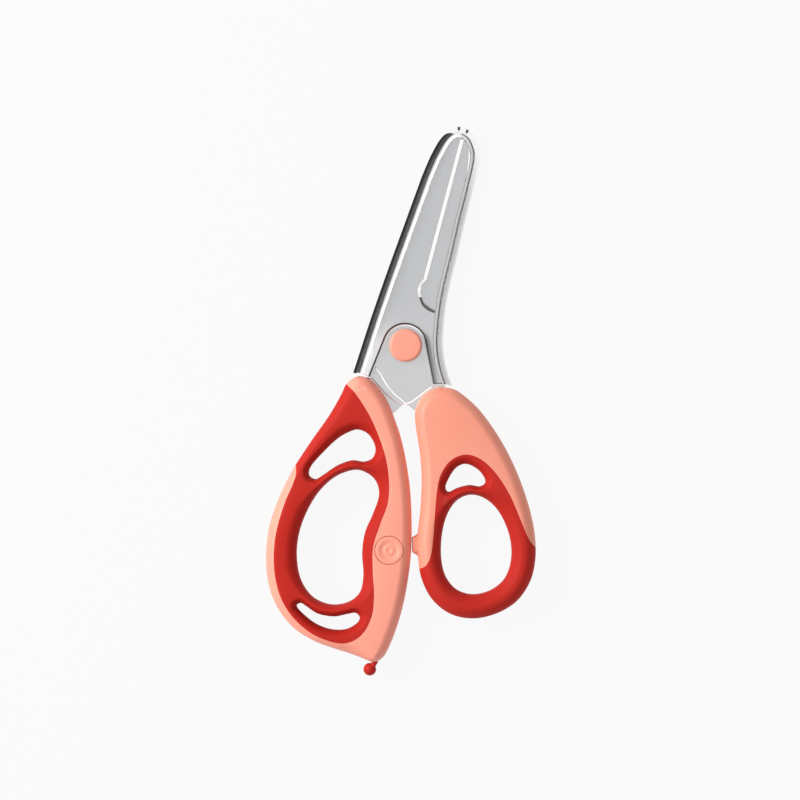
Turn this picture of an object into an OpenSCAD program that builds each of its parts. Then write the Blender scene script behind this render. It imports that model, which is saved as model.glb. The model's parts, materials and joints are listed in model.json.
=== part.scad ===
// Craft scissors with a clear blade sheath and a fold-out assist lever.
// The pivot axis is Z and passes through the origin, the blades point along +Y,
// and the back faces of the handles and of the back pivot cap lie on z = 0.

/* [Blades] */
// Thickness of each blade
blade_t = 1.4; // [1:0.1:1.6]
// Gap between the blades, filled by the bearing washer
blade_gap = 0.3; // [0.2:0.05:0.4]
// Depth of the coined step where the blade becomes the tang
tang_step = 0.35; // [0.2:0.05:0.4]
// Width of the ground bevel along the cutting edge
bevel_w = 0.9; // [0.6:0.1:1.2]

/* [Pivot] */
// Radius of the rivet's shank
rivet_r = 2; // [1.6:0.1:2.2]
// Radius of both pivot caps
cap_r = 4.1; // [3.8:0.1:4.4]
// Running clearance of turning fits, on the radius
run_fit = 0.05; // [0.02:0.01:0.09]

/* [Sheath] */
// Wall thickness of the sheath
sheath_wall = 0.9; // [0.7:0.1:1.1]
// Room between the blades and the sheath's broad walls
sheath_room = 0.5; // [0.3:0.1:0.6]
// Radius of the arched cut-out round the pivot caps
arch_r = 5.2; // [4.9:0.1:5.4]

/* [Handles] */
// Thickness of the handles
handle_t = 9; // [8.4:0.2:10]
// Rounding of the handles' edges
edge_r = 1.4; // [0.8:0.1:1.6]

/* [Assist lever] */
// Thickness of the lever
lever_t = 2.4; // [2:0.1:2.8]
// Half the width of the lever's arm
lever_half_w = 1.2; // [0.9:0.1:1.3]
// Radius of the round cap over the lever's pin
lever_cap_r = 3.6; // [3.2:0.1:3.8]
// How far the lever folds out, in degrees
lever_swing = 42; // [20:1:44]

/* [Hidden] */
$fn = 64;
mid_z = handle_t / 2;
rear_z = mid_z - blade_gap / 2 - blade_t;
front_z = mid_z + blade_gap / 2;
front_top = front_z + blade_t;
head_t = 0.8;
washer_t = 0.4;
rivet_head_r = 3.2;
sheath_low = rear_z - sheath_room - sheath_wall;
sheath_high = front_top + sheath_room + sheath_wall;
loop_steps = 3;
run_steps = 4;

// The left handle's outside, and its finger hole, upper hole and lower slot
left_outline = [
    [-12.2, -7.8], [-9.4, -8.3], [-7, -10.4], [-4.6, -14], [-2.6, -18.8], [-1, -23.8],
    [0.3, -30], [1.2, -37], [1.5, -44], [1.4, -51], [0.7, -58], [-0.6, -65], [-2.4, -71.2],
    [-4.6, -76.5], [-6.2, -78.6], [-8.2, -79.3], [-11.4, -78], [-17, -76], [-23, -74],
    [-28, -70.8], [-31.8, -66.2], [-34.2, -60.5], [-35, -53.5], [-34.3, -46],
    [-32.4, -39.8], [-28.8, -32], [-24.1, -24.6], [-19.2, -17.6], [-16.2, -12.4], [-14.8, -9.6]
];
left_finger = [
    [-13, -31.2], [-17.6, -32.8], [-21.6, -36.6], [-24.7, -41.5], [-26.7, -47],
    [-27.3, -52.8], [-26.3, -58.6], [-23.4, -62.9], [-19, -64.9], [-14.6, -64.4],
    [-11.5, -61.9], [-10.6, -57.5], [-10.9, -52], [-10.2, -46.9], [-8.2, -42.2],
    [-6.7, -37.6], [-7.4, -34.1], [-9.8, -31.9]
];
left_upper = [
    [-11.8, -21.1], [-9.2, -22.4], [-7.6, -25.5], [-8.2, -28.1], [-10.4, -29.1],
    [-13.5, -28.8], [-17.2, -30.4], [-20.8, -33.1], [-22.9, -33.7], [-24.4, -32.3],
    [-23.6, -30.1], [-20.4, -26.5], [-17.1, -23.4], [-14.2, -21.7]
];
left_lower = [
    [-26.3, -64.5], [-24.8, -65.4], [-22, -67.2], [-18, -67.9], [-14.6, -67.3],
    [-12.6, -67], [-11.5, -68.2], [-12.4, -69.8], [-15.2, -71.2], [-19, -71.1],
    [-22.6, -69.7], [-25.6, -67.4], [-27.3, -65.4]
];
// Where the left handle's hard plastic meets its soft grip, from the top round to the left side
left_seam = [
    [-18, -6.4], [-14.6, -9.9], [-12.6, -12], [-9.5, -16.7], [-7, -22], [-5.1, -27.6],
    [-4.2, -33.4], [-4.4, -39.3], [-6.4, -44.9], [-8.1, -50.4], [-8.2, -56.5],
    [-7.9, -62.5], [-8.6, -68.2], [-11.4, -72.8], [-16, -74.6], [-22.4, -72.7],
    [-27.6, -68.7], [-31.2, -63.2], [-32.9, -56], [-32.6, -47.8], [-30.4, -39.8],
    [-28.2, -34.6], [-27.4, -31.6], [-28.2, -29], [-32, -26]
];
// The right handle's outside, thumb hole, upper hole and seam
right_outline = [
    [2.3, -17.5], [3, -14.5], [4.9, -12.1], [7.6, -10.8], [10.5, -10.6], [13.3, -11.6],
    [17.8, -15.4], [21.5, -20.1], [24.7, -25.2], [27.4, -30.6], [29.6, -36.2],
    [31.3, -41.8], [32.4, -47.6], [32.5, -53.6], [31.2, -59.1], [27.9, -64],
    [22.9, -67.1], [17, -68.4], [11.3, -67.3], [6.7, -63.7], [4, -58.5], [3.1, -53],
    [3, -47.5], [3.7, -41], [4, -34], [3.6, -27.5], [2.7, -21.5]
];
right_thumb = [
    [16.5, -37.4], [12.9, -38.8], [10.4, -42.4], [9.1, -47.4], [8.9, -53], [10, -57.8],
    [12.8, -61.2], [17, -62.4], [21.6, -61.2], [25, -58.1], [26.5, -53.2], [26, -47.6],
    [23.7, -42.2], [20.4, -38.7]
];
right_upper = [
    [14.6, -29.7], [12.5, -30.8], [10.8, -33.3], [10, -35.5], [10.8, -36.7], [13, -35.7],
    [15.9, -35], [18.6, -35.3], [20, -34.2], [19, -32], [16.9, -30.3]
];
right_seam = [
    [-1, -57.5], [3.4, -56], [5.2, -54.9], [6.3, -52.4], [6.9, -48], [7.4, -41],
    [7.9, -36], [8.9, -32], [11.4, -28.7], [15, -27.3], [18.8, -28.5], [22.4, -31.8],
    [26, -37.3], [28.9, -44], [30.6, -48], [32.4, -50.4], [36, -53]
];

// The two blades' shared silhouette: the front blade's spine is on the left, the rear one's on the right
tip = [14.1, 52.6];
left_spine = [[-7.9, 1], [8.3, 45.2], [10.6, 50], [12.3, 52.1], tip];
right_spine = [tip, [15.5, 51], [15.8, 47.6], [14.8, 39.6], [12.5, 30], [10.2, 19.6], [8, 9.6], [7.6, 4.4]];
front_edge_top = [13.9, 51.4];
front_edge_foot = [5, 16.7];
rear_edge_top = [13.5, 51.4];
rear_edge_foot = [1.6, 16.7];

// The sheath's outside, from the foot of its left leg up, over the tip and down to the right leg
sheath_foot = [-12.9, -6.9];
sheath_curve = [
    [5.9, 46.5], [8.2, 51.3], [10.6, 53.9], [13.4, 54.8], [16.2, 53.4], [17.9, 50.4], [18.3, 46.6],
    [16.5, 38.9], [14.3, 30.7], [12.4, 22.4], [10.8, 15], [9.9, 9.5], [9.5, 4], [9.5, 0],
    [10, -4], [10.8, -7.2], [11.8, -10]
];

lever_pivot = [-4.1, -51.3];
ball_centre = [-9, -81.2];
ball_r = 1.6;
lever_rest = atan2(ball_centre[0] - lever_pivot[0], lever_pivot[1] - ball_centre[1]);
lever_len = norm(ball_centre - lever_pivot);
hub_r = 3.1;
lever_pin_r = 1.25;
slot_room = 0.3;

// A point a share t of the way from b to c, on a smooth curve that also heeds a and d
function spline(a, b, c, d, t) =
    0.5 * (2 * b + (c - a) * t + (2 * a - 5 * b + 4 * c - d) * t * t
        + (3 * b - a - 3 * c + d) * t * t * t);

// A smooth closed curve through the points
function smooth_loop(p) =
    let (c = len(p))
    [for (i = [0:c - 1], k = [0:loop_steps - 1])
        spline(p[(i + c - 1) % c], p[i], p[(i + 1) % c], p[(i + 2) % c], k / loop_steps)];

// A smooth open curve through the points
function smooth_run(p) =
    let (last = len(p) - 1)
    concat(
        [for (i = [0:last - 1], k = [0:run_steps - 1])
            spline(p[max(i - 1, 0)], p[i], p[i + 1], p[min(i + 2, last)], k / run_steps)],
        [p[last]]
    );

function crossed(a, b) = a[0] * b[1] - a[1] * b[0];

function signed_area(p) = [for (i = [0:len(p) - 1]) crossed(p[i], p[(i + 1) % len(p)])] * [for (q = p) 0.5];

function reversed(p) = [for (i = [len(p) - 1:-1:0]) p[i]];

function anticlockwise(p) = signed_area(p) < 0 ? reversed(p) : p;

// The anticlockwise loop p moved outwards by d along its normals
function grown(p, d) =
    let (c = len(p))
    [for (i = [0:c - 1])
        let (along = p[(i + 1) % c] - p[(i + c - 1) % c])
        p[i] + d * [along[1], -along[0]] / norm(along)];

// A closed solid whose section is the loop p grown by each level's amount at its height
module lofted(p, levels) {
    loop = anticlockwise(p);
    n = len(loop);
    top = len(levels) - 1;
    points = [for (level = levels, q = grown(loop, level[1])) [q[0], q[1], level[0]]];
    walls = [for (k = [0:top - 1], i = [0:n - 1], half = [0, 1])
        let (j = (i + 1) % n)
        half == 0 ? [k * n + i, (k + 1) * n + i, (k + 1) * n + j] : [k * n + i, (k + 1) * n + j, k * n + j]];
    caps = [[for (i = [0:n - 1]) i], [for (i = [n - 1:-1:0]) top * n + i]];
    polyhedron(points, concat(walls, caps));
}

// Heights and growth of a block of the handles' thickness whose edges are rounded by r.
// The first and last levels carry the rounding on a little past the flat faces, which cut it off.
function rounded_levels(r) =
    [for (side = [0, 1], a = [0:30:90])
        let (
            angle = side == 0 ? a : 90 - a,
            z = angle == 0 ? -0.067 * r : r * (1 - cos(angle)),
            inset = angle == 0 ? 1.25 * r : r * (1 - sin(angle))
        )
        [side == 0 ? z : handle_t - z, -inset]];

// The same for a hole through the slab, whose mouths widen by r
function hole_levels(r) =
    concat(
        [[-1, r]],
        [for (level = rounded_levels(r)) [level[0], -level[1]]],
        [[handle_t + 1, r]]
    );

module slab(p) {
    intersection() {
        lofted(smooth_loop(p), rounded_levels(edge_r));
        translate([-60, -100, 0]) cube([120, 120, handle_t]);
    }
}

module hole(p, r) {
    lofted(smooth_loop(p), hole_levels(r));
}

// A plate of the given outline between two heights
module plate(p, low, high) {
    translate([0, 0, low]) linear_extrude(high - low) polygon(p);
}

// The part of a loop's rim between two of its points, from one depth inside the edge to another
module rim_core(p, first, last, near, far) {
    loop = smooth_loop(p);
    ring = signed_area(loop) < 0 ? -1 : 1;
    outer = grown(loop, -ring * near);
    inner = grown(loop, -ring * far);
    span = [first * loop_steps:last * loop_steps];
    band = concat([for (i = span) outer[i]], reversed([for (i = span) inner[i]]));
    plate(band, mid_z - 1.6, mid_z + 1.6);
}

// Grinds the bevel of the straight cutting edge from a to b into the face at face_z.
// The blade lies to the left of that line, and up is 1 for the front face, -1 for the back face.
module grind_bevel(a, b, face_z, up) {
    along = b - a;
    depth = 0.8 * blade_t;
    translate([a[0], a[1], face_z])
        rotate([0, 0, atan2(along[1], along[0])])
            rotate([90, 0, 90])
                linear_extrude(norm(along))
                    polygon([[bevel_w, 0], [0, -up * depth], [-2, -up * depth], [-2, up], [bevel_w, up]]);
}

heel_right = smooth_run([[7.6, 8.6], [7.6, 4.4], [7.4, 0], [7.7, -4], [9.2, -9]]);
front_choil = smooth_run([[3.7, 15.2], [3.3, 13.4], [4.2, 10.9], [6, 9.4]]);
front_tang = [
    [11, -13], [13.6, -18], [15, -23], [14, -25.5], [10.4, -25.5], [8.4, -22.5], [5.6, -18.8],
    [2.5, -16.5], [0.3, -14.8], [-0.5, -14.3], [-7.1, -5.8], [-8.2, -3]
];
front_outline = concat(
    smooth_run(left_spine), [front_edge_top, front_edge_foot], front_choil, heel_right, front_tang
);
rear_choil = smooth_run([[0.2, 15.2], [-0.6, 13], [-1.8, 11], [-4.2, 9.6]]);
rear_tang = [
    [-6.6, 3.4], [-8.2, -1.4], [-8.8, -5.6], [-10.6, -9.6], [-10.8, -12.4], [-8.2, -16.6],
    [-6, -22], [-4.6, -26.6], [-3.8, -28.6], [-2, -28.2], [-1.7, -26], [-2.9, -21.6],
    [-4.2, -18.4], [-3.1, -17.1], [-0.7, -14.9]
];
rear_heel = smooth_run([[0.2, -14.5], [4, -9.4], [6.2, -4.6], [7.3, 0], [7.6, 4.4]]);
rear_outline = concat(
    [rear_edge_top, rear_edge_foot], rear_choil, rear_tang, rear_heel, reversed(smooth_run(right_spine))
);
rear_holes = [[-8.4, -13.4, 1.2], [-4.6, -22.6, 0.8]];
front_holes = [[8, -15.4, 1.5], [11.8, -21.4, 1.3]];
rear_step = [
    [-16, -8.2], [-8.4, -8.2], [-5.2, -11.9], [-2.4, -14.3], [-0.3, -14.75], [2, -18], [0, -32], [-16, -32]
];
front_step = [
    [-0.3, -14.75], [1.4, -14.2], [3.2, -12.9], [4.8, -11.6], [6.5, -10.4], [12, -10.2], [18, -12],
    [18, -28], [0, -28]
];

// Where the stacked pieces on the rivet begin and end
shank_top = front_top + run_fit;
washer_top = shank_top + washer_t;
rivet_top = washer_top + 0.5;
front_cap_low = front_top + 0.1;
front_cap_top = handle_t - 0.3;
back_cap_top = rear_z - run_fit;
cap_round = 0.8;
tenon_r = 1.4;

// The blank of a tang with its locking holes, before its step is coined
module tang_blank(outline, holes, low) {
    difference() {
        plate(outline, low, low + blade_t);
        for (h = holes) translate([h[0], h[1], low - 1]) cylinder(r = h[2], h = blade_t + 2);
    }
}

module rear_blade() {
    color("silver")
    difference() {
        tang_blank(rear_outline, rear_holes, rear_z);
        translate([0, 0, rear_z - 1]) cylinder(r = rivet_r, h = blade_t + 2);
        plate(rear_step, rear_z + blade_t - tang_step, rear_z + blade_t + 1);
        grind_bevel(rear_edge_top, rear_edge_foot, rear_z, -1);
    }
}

module front_blade() {
    color("gainsboro")
    difference() {
        tang_blank(front_outline, front_holes, front_z);
        translate([0, 0, front_z - 1]) cylinder(r = rivet_r + run_fit, h = blade_t + 2);
        plate(front_step, front_top - tang_step, front_top + 1);
        grind_bevel(front_edge_foot, front_edge_top, front_top, 1);
    }
}

module pivot_rivet() {
    color("darkgray") {
        translate([0, 0, rear_z - head_t]) cylinder(r = rivet_head_r, h = head_t);
        translate([0, 0, rear_z - 0.01]) cylinder(r = rivet_r, h = shank_top - rear_z + 0.01);
        translate([0, 0, shank_top - 0.01]) cylinder(r = tenon_r, h = washer_top - shank_top + 0.02);
        translate([0, 0, washer_top]) cylinder(r = tenon_r + 0.9, h = rivet_top - washer_top);
    }
}

module ring(outer_r, inner_r, low, high) {
    translate([0, 0, low]) difference() {
        cylinder(r = outer_r, h = high - low);
        translate([0, 0, -1]) cylinder(r = inner_r, h = high - low + 2);
    }
}

module bearing_washer() {
    color("ivory") ring(3.4, rivet_r + run_fit, rear_z + blade_t, front_z);
}

module rivet_washer() {
    color("gray") ring(rivet_head_r, tenon_r, shank_top, washer_top);
}

// A cap's half section: a disc of the given height with its far rim rounded, standing on its open side
module cap_section(height) {
    polygon(concat(
        [[0, 0], [cap_r, 0]],
        [for (a = [0:15:90]) [cap_r - cap_round * (1 - cos(a)), height - cap_round * (1 - sin(a))]],
        [[0, height]]
    ));
}

module back_pivot_cap() {
    color("lightsalmon") difference() {
        translate([0, 0, back_cap_top]) mirror([0, 0, 1]) rotate_extrude() cap_section(back_cap_top);
        translate([0, 0, rear_z - head_t]) cylinder(r = rivet_head_r, h = head_t + 1);
    }
}

module front_pivot_cap() {
    color("lightsalmon") difference() {
        translate([0, 0, front_cap_low]) rotate_extrude() cap_section(front_cap_top - front_cap_low);
        translate([0, 0, front_cap_low - 1]) cylinder(r = rivet_head_r, h = rivet_top - front_cap_low + 1.05);
    }
}

// The rounded blanks of the two handles, hard plastic and soft grip together
module left_body() {
    difference() {
        slab(left_outline);
        hole(left_finger, edge_r);
        hole(left_upper, 0.9);
        hole(left_lower, 0.9);
    }
}

module right_body() {
    difference() {
        slab(right_outline);
        hole(right_thumb, edge_r);
        hole(right_upper, 0.9);
    }
}

module left_grip_zone() {
    plate(concat(smooth_run(left_seam), [[-45, -26], [-45, -7]]), -1, handle_t + 1);
}

module right_grip_zone() {
    plate(concat(smooth_run(right_seam), [[38, -75], [-1, -75]]), -1, handle_t + 1);
}

// The hard plastic that runs on inside the soft grips, under the outer rim
module left_core() {
    rim_core(left_outline, 22, 29, 1.3, 3);
}

module right_core() {
    rim_core(right_outline, 12, 21, 1.5, 3.6);
}

// Everything that the lever sweeps inside the handle, with room round it
module lever_slot() {
    out = lever_half_w + slot_room;
    rest = [sin(lever_rest), -cos(lever_rest)];
    open_angle = lever_rest + lever_swing + 1;
    open = [sin(open_angle), -cos(open_angle)];
    left = [rest[1], -rest[0]];
    right = [-open[1], open[0]];
    low = mid_z - lever_t / 2 - slot_room / 2;
    high = mid_z + lever_t / 2 + slot_room / 2;
    sweep = [
        lever_pivot + out * left,
        lever_pivot + out * left + 36 * rest,
        [14, -88],
        lever_pivot + out * right + 30 * open,
        lever_pivot + out * right
    ];
    plate(sweep, low, high);
    translate([lever_pivot[0], lever_pivot[1], low]) cylinder(r = hub_r + slot_room, h = high - low);
}

pin_low = 0.9;
pin_head_t = 0.9;
pin_top = handle_t - 0.6;
cap_floor = handle_t - 1.2;

module left_handle() {
    color("lightsalmon")
    difference() {
        union() {
            difference() {
                left_body();
                left_grip_zone();
            }
            left_core();
        }
        tang_blank(rear_outline, rear_holes, rear_z);
        lever_slot();
        translate([lever_pivot[0], lever_pivot[1], -1]) {
            cylinder(r = lever_pin_r, h = handle_t + 2);
            cylinder(r = 2.2, h = 1 + pin_low + pin_head_t);
            translate([0, 0, 1 + cap_floor]) cylinder(r = lever_cap_r, h = 3);
        }
    }
}

module left_grip() {
    color("firebrick")
    difference() {
        intersection() {
            left_body();
            left_grip_zone();
        }
        left_core();
    }
}

module lever_pin() {
    color("darkgray") translate([lever_pivot[0], lever_pivot[1], pin_low]) {
        cylinder(r = lever_pin_r, h = pin_top - pin_low);
        cylinder(r = 2.2, h = pin_head_t);
    }
}

// A round cap with a raised rim, a ring-shaped dish and a dimple in its middle
module lever_cap() {
    thick = handle_t - cap_floor;
    color("salmon") translate([lever_pivot[0], lever_pivot[1], cap_floor]) difference() {
        rotate_extrude() polygon([
            [0, 0], [lever_cap_r - 0.05, 0], [lever_cap_r - 0.05, thick - 0.15], [lever_cap_r - 0.3, thick],
            [2.5, thick], [2.1, thick - 0.3], [1.2, thick - 0.3], [0.9, thick - 0.15], [0.5, thick - 0.25],
            [0, thick - 0.3]
        ]);
        translate([0, 0, -1]) cylinder(r = lever_pin_r, h = 1 + pin_top - cap_floor);
    }
}

module assist_lever() {
    neck = lever_len - ball_r;
    color("firebrick") translate([lever_pivot[0], lever_pivot[1], mid_z]) rotate([0, 0, lever_rest - 90])
        difference() {
            union() {
                translate([0, 0, -lever_t / 2]) cylinder(r = hub_r, h = lever_t);
                translate([0, 0, -lever_t / 2]) linear_extrude(lever_t)
                    polygon([
                        [0, -lever_half_w], [neck - 4, -lever_half_w], [neck - 1, -0.7], [neck + 1, -0.7],
                        [neck + 1, 0.7], [neck - 1, 0.7], [neck - 4, lever_half_w], [0, lever_half_w]
                    ]);
                translate([lever_len, 0, 0]) sphere(r = ball_r);
            }
            translate([0, 0, -lever_t]) cylinder(r = lever_pin_r + run_fit, h = 2 * lever_t);
        }
}

// The stub on the right handle that meets the left handle as the scissors close
stop_outline = [
    [5, -45.2], [3.4, -46.2], [2.7, -47.3], [1.75, -47.9], [1.75, -52.1], [2.7, -52.7], [3.4, -53.8], [5, -54.6]
];

module right_handle() {
    color("lightsalmon")
    difference() {
        union() {
            difference() {
                union() {
                    right_body();
                    plate(stop_outline, mid_z - 2.4, mid_z + 2.4);
                }
                right_grip_zone();
            }
            right_core();
        }
        tang_blank(front_outline, front_holes, front_z);
    }
}

module right_grip() {
    color("firebrick")
    difference() {
        intersection() {
            right_body();
            right_grip_zone();
        }
        right_core();
    }
}

// The sheath's outside down to its legs' feet, and a longer one whose inset is the hollow
sheath_rim = concat([sheath_foot], smooth_run(sheath_curve));
sheath_outline = concat(sheath_rim, [[6.6, -10], [-8.9, -8.1]]);
sheath_long = concat([[-15.4, -14]], sheath_rim, [[13.3, -14]]);

module blade_sheath() {
    color("lightcyan", 0.4)
    difference() {
        plate(sheath_outline, sheath_low, sheath_high);
        plate(grown(anticlockwise(sheath_long), -sheath_wall),
            sheath_low + sheath_wall, sheath_high - sheath_wall);
        translate([-0.2, 0, sheath_low - 1]) cylinder(r = arch_r, h = sheath_high - sheath_low + 2);
        plate([[-5.1, 1.9], [4.7, 1.9], [6.7, -10], [7.2, -14], [-11, -14], [-8.8, -8.2]],
            sheath_low - 1, sheath_high + 1);
        translate([14.3, 54, mid_z]) rotate([0, 0, -15]) cube([1.5, 6, 2.4], center = true);
    }
}

rear_blade();
front_blade();
pivot_rivet();
bearing_washer();
rivet_washer();
back_pivot_cap();
front_pivot_cap();
left_handle();
left_grip();
lever_pin();
lever_cap();
assist_lever();
right_handle();
right_grip();
blade_sheath();
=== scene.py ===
# %% [markdown]
# # Craft scissors with a clear blade sheath
# Two steel blades turn on a capped rivet. Each blade's tang sits in a hard salmon handle with a
# soft red grip moulded round it. A clear sheath covers the blades, and a red assist lever is folded
# away inside the left handle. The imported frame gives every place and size, so it is loaded first.

# %% Load the frame
import json
import math

import bmesh
import bpy
import numpy as np
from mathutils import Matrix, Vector


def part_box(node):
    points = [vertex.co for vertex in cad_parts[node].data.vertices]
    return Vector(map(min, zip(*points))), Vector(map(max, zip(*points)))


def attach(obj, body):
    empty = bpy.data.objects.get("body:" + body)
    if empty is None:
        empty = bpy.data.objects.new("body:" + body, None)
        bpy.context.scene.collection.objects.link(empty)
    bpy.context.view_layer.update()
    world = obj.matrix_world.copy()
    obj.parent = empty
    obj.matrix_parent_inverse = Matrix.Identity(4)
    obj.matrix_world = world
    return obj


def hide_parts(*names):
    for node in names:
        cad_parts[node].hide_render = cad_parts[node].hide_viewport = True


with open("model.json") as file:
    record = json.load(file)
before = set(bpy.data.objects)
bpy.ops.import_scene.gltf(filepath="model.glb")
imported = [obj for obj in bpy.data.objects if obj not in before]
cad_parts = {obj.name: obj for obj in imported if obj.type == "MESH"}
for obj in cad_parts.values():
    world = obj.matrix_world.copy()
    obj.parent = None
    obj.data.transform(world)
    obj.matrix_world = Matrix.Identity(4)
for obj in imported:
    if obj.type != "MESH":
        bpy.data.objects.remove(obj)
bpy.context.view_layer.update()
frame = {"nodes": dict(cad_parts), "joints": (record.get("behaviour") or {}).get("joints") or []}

MM = 0.001

# %% [markdown]
# ## Smooth outlines
# The handles are moulded to smooth closed curves. A curve object could hold them, but its bevel folds
# over at tight corners. A short list of points is drawn in millimetres instead, and a spline rounds it
# off into a ring of stations that the meshes are built on.

# %% Splines through a few points
SPLINE_STEPS = 8


def between(a, b, c, d, t):
    return 0.5 * (2 * b + (c - a) * t + (2 * a - 5 * b + 4 * c - d) * t**2 + (3 * b - a - 3 * c + d) * t**3)


def smooth_loop(points, steps=SPLINE_STEPS):
    p = np.array(points, float)
    n = len(p)
    return np.array([
        between(p[i - 1], p[i], p[(i + 1) % n], p[(i + 2) % n], k / steps)
        for i in range(n) for k in range(steps)
    ])


def smooth_run(points, steps=SPLINE_STEPS):
    p = np.array(points, float)
    last = len(p) - 1
    inner = [
        between(p[max(i - 1, 0)], p[i], p[i + 1], p[min(i + 2, last)], k / steps)
        for i in range(last) for k in range(steps)
    ]
    return np.array(inner + [p[last]])


def circle(centre, radius, count=96):
    turns = np.arange(count) / count * 2 * math.pi
    return np.array(centre) + radius * np.stack([np.cos(turns), np.sin(turns)], 1)


def signed_area(p):
    q = np.roll(p, -1, 0)
    return 0.5 * np.sum(p[:, 0] * q[:, 1] - p[:, 1] * q[:, 0])


def wound(p, anticlockwise):
    return p if (signed_area(p) > 0) == anticlockwise else p[::-1]


def into_material(loop):
    """Unit vectors that point from each station to its left, which is into the material."""
    along = np.roll(loop, -1, 0) - np.roll(loop, 1, 0)
    left = np.stack([-along[:, 1], along[:, 0]], 1)
    return left / np.linalg.norm(left, axis=1)[:, None]


# %% [markdown]
# ## How far an edge can be rounded
# A wide rounding looks soft and moulded, but a thin web between two holes only has room for half its
# width, and a tight outside corner only for its own radius. So each station gets its own reach.

# %% Reach of the rounding at each station
WEB_SHARE = 0.47
CORNER_SHARE = 0.85


def web_width(point, direction, starts, ends, longest):
    """Distance from a station straight into the material to the next edge."""
    edge = ends - starts
    offset = starts - point
    crossing = direction[0] * edge[:, 1] - direction[1] * edge[:, 0]
    crossing = np.where(np.abs(crossing) < 1e-12, 1e-12, crossing)
    distance = (offset[:, 0] * edge[:, 1] - offset[:, 1] * edge[:, 0]) / crossing
    share = (offset[:, 0] * direction[1] - offset[:, 1] * direction[0]) / crossing
    hits = distance[(distance > 0.05) & (share >= 0) & (share <= 1)]
    return min(hits.min(), longest) if len(hits) else longest


def corner_radius(loop):
    """Radius of the loop at each station, where it curves round the material, and a large one elsewhere."""
    before, after = loop - np.roll(loop, 1, 0), np.roll(loop, -1, 0) - loop
    turn = np.arctan2(before[:, 0] * after[:, 1] - before[:, 1] * after[:, 0], (before * after).sum(1))
    step = (np.linalg.norm(before, axis=1) + np.linalg.norm(after, axis=1)) / 2
    return np.where(turn > 1e-4, step / np.maximum(turn, 1e-4), 1e3)


def evened(values, width=5):
    """The smallest value near each station, averaged along the loop."""
    near = np.min([np.roll(values, k) for k in range(-width, width + 1)], axis=0)
    return np.mean([np.roll(near, k) for k in range(-width, width + 1)], axis=0)


def reaches(loops, wanted):
    starts = np.concatenate(loops)
    ends = np.concatenate([np.roll(loop, -1, 0) for loop in loops])
    found = []
    for loop, most in zip(loops, wanted):
        inward = into_material(loop)
        webs = np.array([web_width(p, d, starts, ends, 4 * most) for p, d in zip(loop, inward)])
        room = np.minimum(WEB_SHARE * webs, CORNER_SHARE * corner_radius(loop))
        found.append(evened(np.minimum(room, most)))
    return found


# %% [markdown]
# ## One way to build every moulded solid
# A ring of edges is placed on the outline and extruded upwards level by level. At each level the ring
# steps in or out a little, so the profile of the edge is drawn by a short list of heights and insets.
# Lathe-like caps, rounded handles and the sheath's stepped rim all come from this one helper.

# %% Loft helper
def only(piece):
    if bpy.context.object and bpy.context.object.mode != "OBJECT":
        bpy.ops.object.mode_set(mode="OBJECT")
    bpy.ops.object.select_all(action="DESELECT")
    piece.select_set(True)
    bpy.context.view_layer.objects.active = piece


def loft(name, loops, levels, reach=None, bands=None, cap_slot=0):
    """A closed solid. levels are (height, inset share) in mm, bands the material slot of each step."""
    inward = np.concatenate([into_material(loop) for loop in loops])
    base = np.concatenate(loops)
    reach = np.concatenate(reach) if reach is not None else np.ones(len(base))
    bpy.ops.object.select_all(action="DESELECT")
    bpy.ops.mesh.primitive_circle_add(vertices=len(loops[0]))
    piece = bpy.context.object
    piece.name = piece.data.name = name
    bpy.ops.object.mode_set(mode="EDIT")
    mesh = piece.data
    station = bmesh.from_edit_mesh(mesh).verts.layers.int.new("station")
    first = 0
    for number, loop in enumerate(loops):
        if number:
            bpy.ops.mesh.select_all(action="DESELECT")
            bpy.ops.mesh.primitive_circle_add(vertices=len(loop))
        bm = bmesh.from_edit_mesh(mesh)
        station = bm.verts.layers.int["station"]
        for k, vert in enumerate(v for v in bm.verts if v.select):
            vert[station] = first + k
        first += len(loop)
        bmesh.update_edit_mesh(mesh)

    def set_ring(level, slot):
        bm = bmesh.from_edit_mesh(mesh)
        station = bm.verts.layers.int["station"]
        height, inset = level
        for vert in bm.verts:
            if vert.select:
                s = vert[station]
                x, y = (base[s] + inward[s] * reach[s] * inset) * MM
                vert.co = (x, y, height * MM)
        for edge in bm.edges:
            if edge.select:
                for face in edge.link_faces:
                    face.material_index = slot
        bmesh.update_edit_mesh(mesh)

    def fill_ring():
        bpy.ops.mesh.fill(use_beauty=True)
        bm = bmesh.from_edit_mesh(mesh)
        for face in bm.faces:
            if face.select:
                face.material_index = cap_slot
        bmesh.update_edit_mesh(mesh)

    bpy.ops.mesh.select_all(action="SELECT")
    set_ring(levels[0], cap_slot)
    for number, level in enumerate(levels[1:]):
        bpy.ops.mesh.extrude_region_move()
        set_ring(level, bands[number] if bands else 0)
    fill_ring()
    bm = bmesh.from_edit_mesh(mesh)
    for vert in bm.verts:
        vert.select = False
    for edge in bm.edges:
        edge.select = len(edge.link_faces) == 1
    bm.select_flush_mode()
    for edge in bm.edges:
        if len(edge.link_faces) == 1:
            edge.select_set(True)
    bmesh.update_edit_mesh(mesh)
    fill_ring()
    bpy.ops.mesh.select_all(action="SELECT")
    bpy.ops.mesh.normals_make_consistent(inside=False)
    bpy.ops.object.mode_set(mode="OBJECT")
    mesh.attributes.remove(mesh.attributes["station"])
    return piece


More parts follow.
